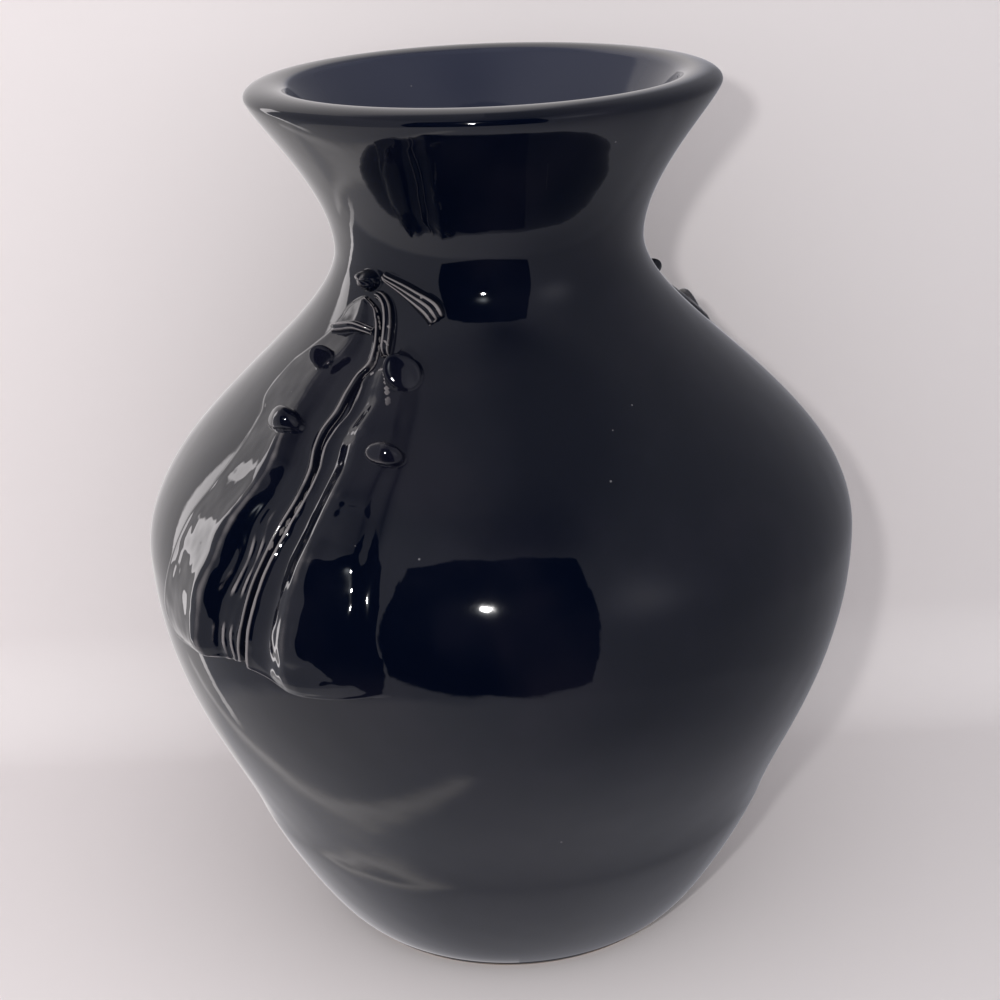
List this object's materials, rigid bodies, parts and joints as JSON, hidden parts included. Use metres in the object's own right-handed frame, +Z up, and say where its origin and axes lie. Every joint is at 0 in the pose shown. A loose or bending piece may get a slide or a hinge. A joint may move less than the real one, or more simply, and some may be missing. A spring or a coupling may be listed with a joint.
{
  "type": "vase",
  "caption": "Wide-bellied black glazed vase with a short neck, a trumpet mouth with a rolled lip, and two draped relief groups on the shoulder.",
  "frame": {"origin": "centre of the foot ring, on the plane that the vase stands on", "axes": "+Z up along the vase's axis, -Y to the front, the left relief group's knot at -X"},
  "size_m": [0.2059, 0.1964, 0.24],
  "materials": {
    "body_glaze": "mirror-gloss black glaze over stoneware",
    "relief_glaze": "mirror-gloss black glaze over moulded clay"
  },
  "bodies": {
    "root": {"vase_body": "body_glaze", "left_knot": "relief_glaze", "left_shoulder_cord": "relief_glaze", "left_stem": "relief_glaze", "left_back_lobe": "relief_glaze", "left_front_lobe": "relief_glaze", "left_cross_fold": "relief_glaze", "left_back_upper_boss": "relief_glaze", "left_back_lower_boss": "relief_glaze", "left_front_upper_boss": "relief_glaze", "left_front_lower_boss": "relief_glaze", "right_knot": "relief_glaze", "right_shoulder_cord": "relief_glaze", "right_stem": "relief_glaze", "right_back_lobe": "relief_glaze", "right_front_lobe": "relief_glaze", "right_cross_fold": "relief_glaze", "right_back_upper_boss": "relief_glaze", "right_back_lower_boss": "relief_glaze", "right_front_upper_boss": "relief_glaze", "right_front_lower_boss": "relief_glaze"}
  },
  "joints": []
}
